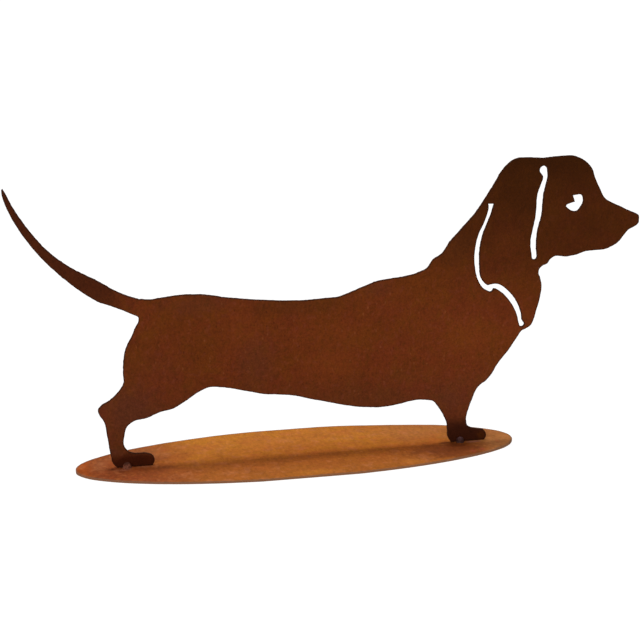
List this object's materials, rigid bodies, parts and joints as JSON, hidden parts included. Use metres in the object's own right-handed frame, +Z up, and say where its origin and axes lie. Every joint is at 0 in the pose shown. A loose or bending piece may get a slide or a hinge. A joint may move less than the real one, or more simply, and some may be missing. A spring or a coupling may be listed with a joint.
{
  "type": "rusted steel dog silhouette sculpture",
  "caption": "Flat long-bodied dog cut from rusted sheet steel, with open slots for its eye and ears, standing on its paws on a thin oval steel base plate.",
  "frame": {"origin": "middle of the oval base plate's underside", "axes": "+Z up, +X along the figure towards the nose, -Y towards the face of the sheet that carries the weld tacks"},
  "size_m": [0.6, 0.124, 0.2824],
  "materials": {
    "figure_rust": "matte",
    "base_rust": "matte",
    "weld_metal": "satin"
  },
  "bodies": {
    "root": {"dog_plate": "figure_rust", "base_plate": "base_rust", "weld_hind_paw": "weld_metal", "weld_fore_paw": "weld_metal"}
  },
  "joints": []
}
